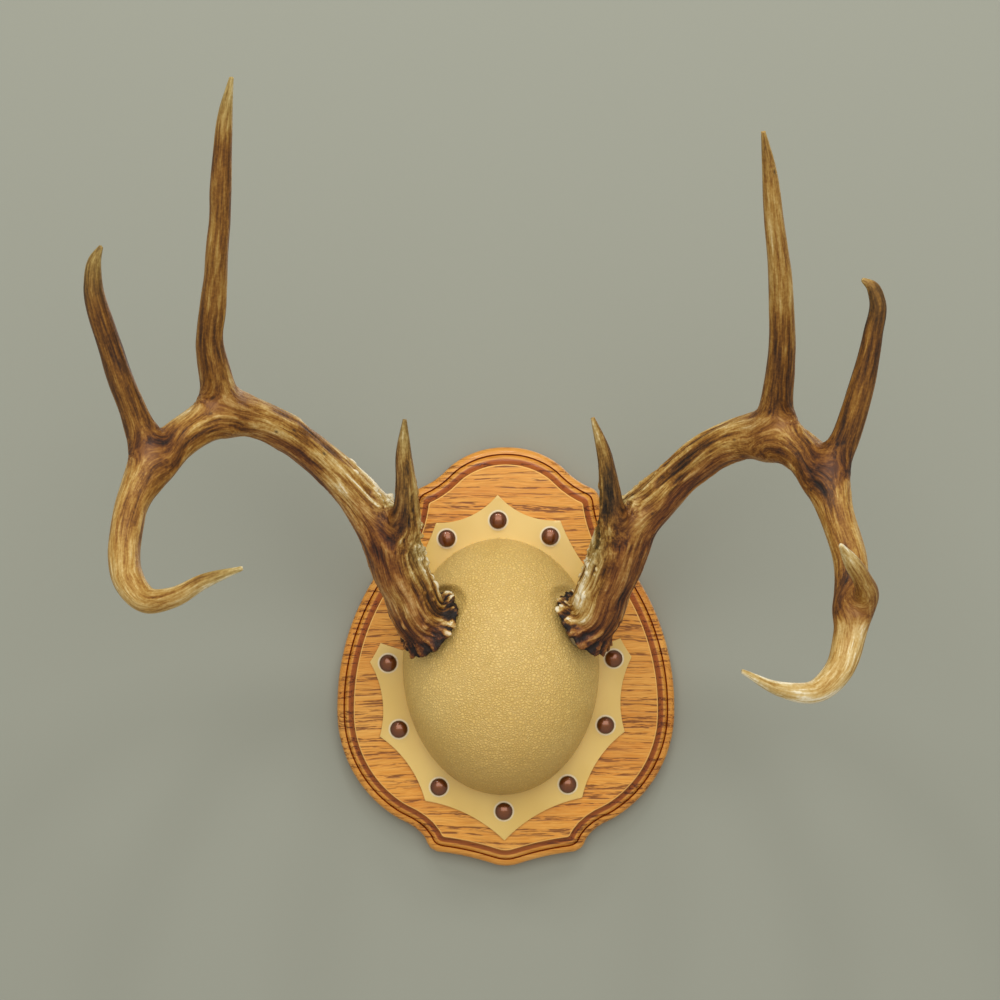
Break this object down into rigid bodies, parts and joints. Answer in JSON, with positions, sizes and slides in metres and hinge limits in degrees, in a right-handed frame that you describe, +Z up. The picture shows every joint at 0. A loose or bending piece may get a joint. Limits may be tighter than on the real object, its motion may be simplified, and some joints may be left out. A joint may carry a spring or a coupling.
{
  "type": "deer antler mount",
  "caption": "Pair of whitetail deer antlers on a shield-shaped oak plaque, with a moulded tan skull cover nailed on by domed tacks; hangs on a wall.",
  "frame": {"origin": "the point it hangs from: on the wall plane, at the top of the keyhole slot in the plaque's back", "axes": "+Z up, +Y into the wall, +X to the right as seen from the room"},
  "size_m": [0.4355, 0.3071, 0.4554],
  "materials": {
    "oak": "red oak, honey stain, satin varnish",
    "cover_plastic": "vacuum-formed tan plastic, leather-grained dome and smooth flange",
    "skull_bone": "cleaned bone",
    "screw_zinc": "zinc plated",
    "tack_bronze": "antique bronze",
    "antler": "natural antler, grooved and beaded, worn pale towards the tips"
  },
  "bodies": {
    "root": {"plaque": "oak", "skull_cover": "cover_plastic", "skull_plate": "skull_bone", "plate_screw_upper": "screw_zinc", "plate_screw_lower": "screw_zinc", "tack_01": "tack_bronze", "tack_02": "tack_bronze", "tack_03": "tack_bronze", "tack_04": "tack_bronze", "tack_05": "tack_bronze", "tack_06": "tack_bronze", "tack_07": "tack_bronze", "tack_08": "tack_bronze", "tack_09": "tack_bronze", "tack_10": "tack_bronze", "left_main_beam": "antler", "left_brow_tine": "antler", "left_second_tine": "antler", "left_third_tine": "antler", "right_main_beam": "antler", "right_brow_tine": "antler", "right_second_tine": "antler", "right_third_tine": "antler", "right_fourth_tine": "antler"}
  },
  "joints": []
}
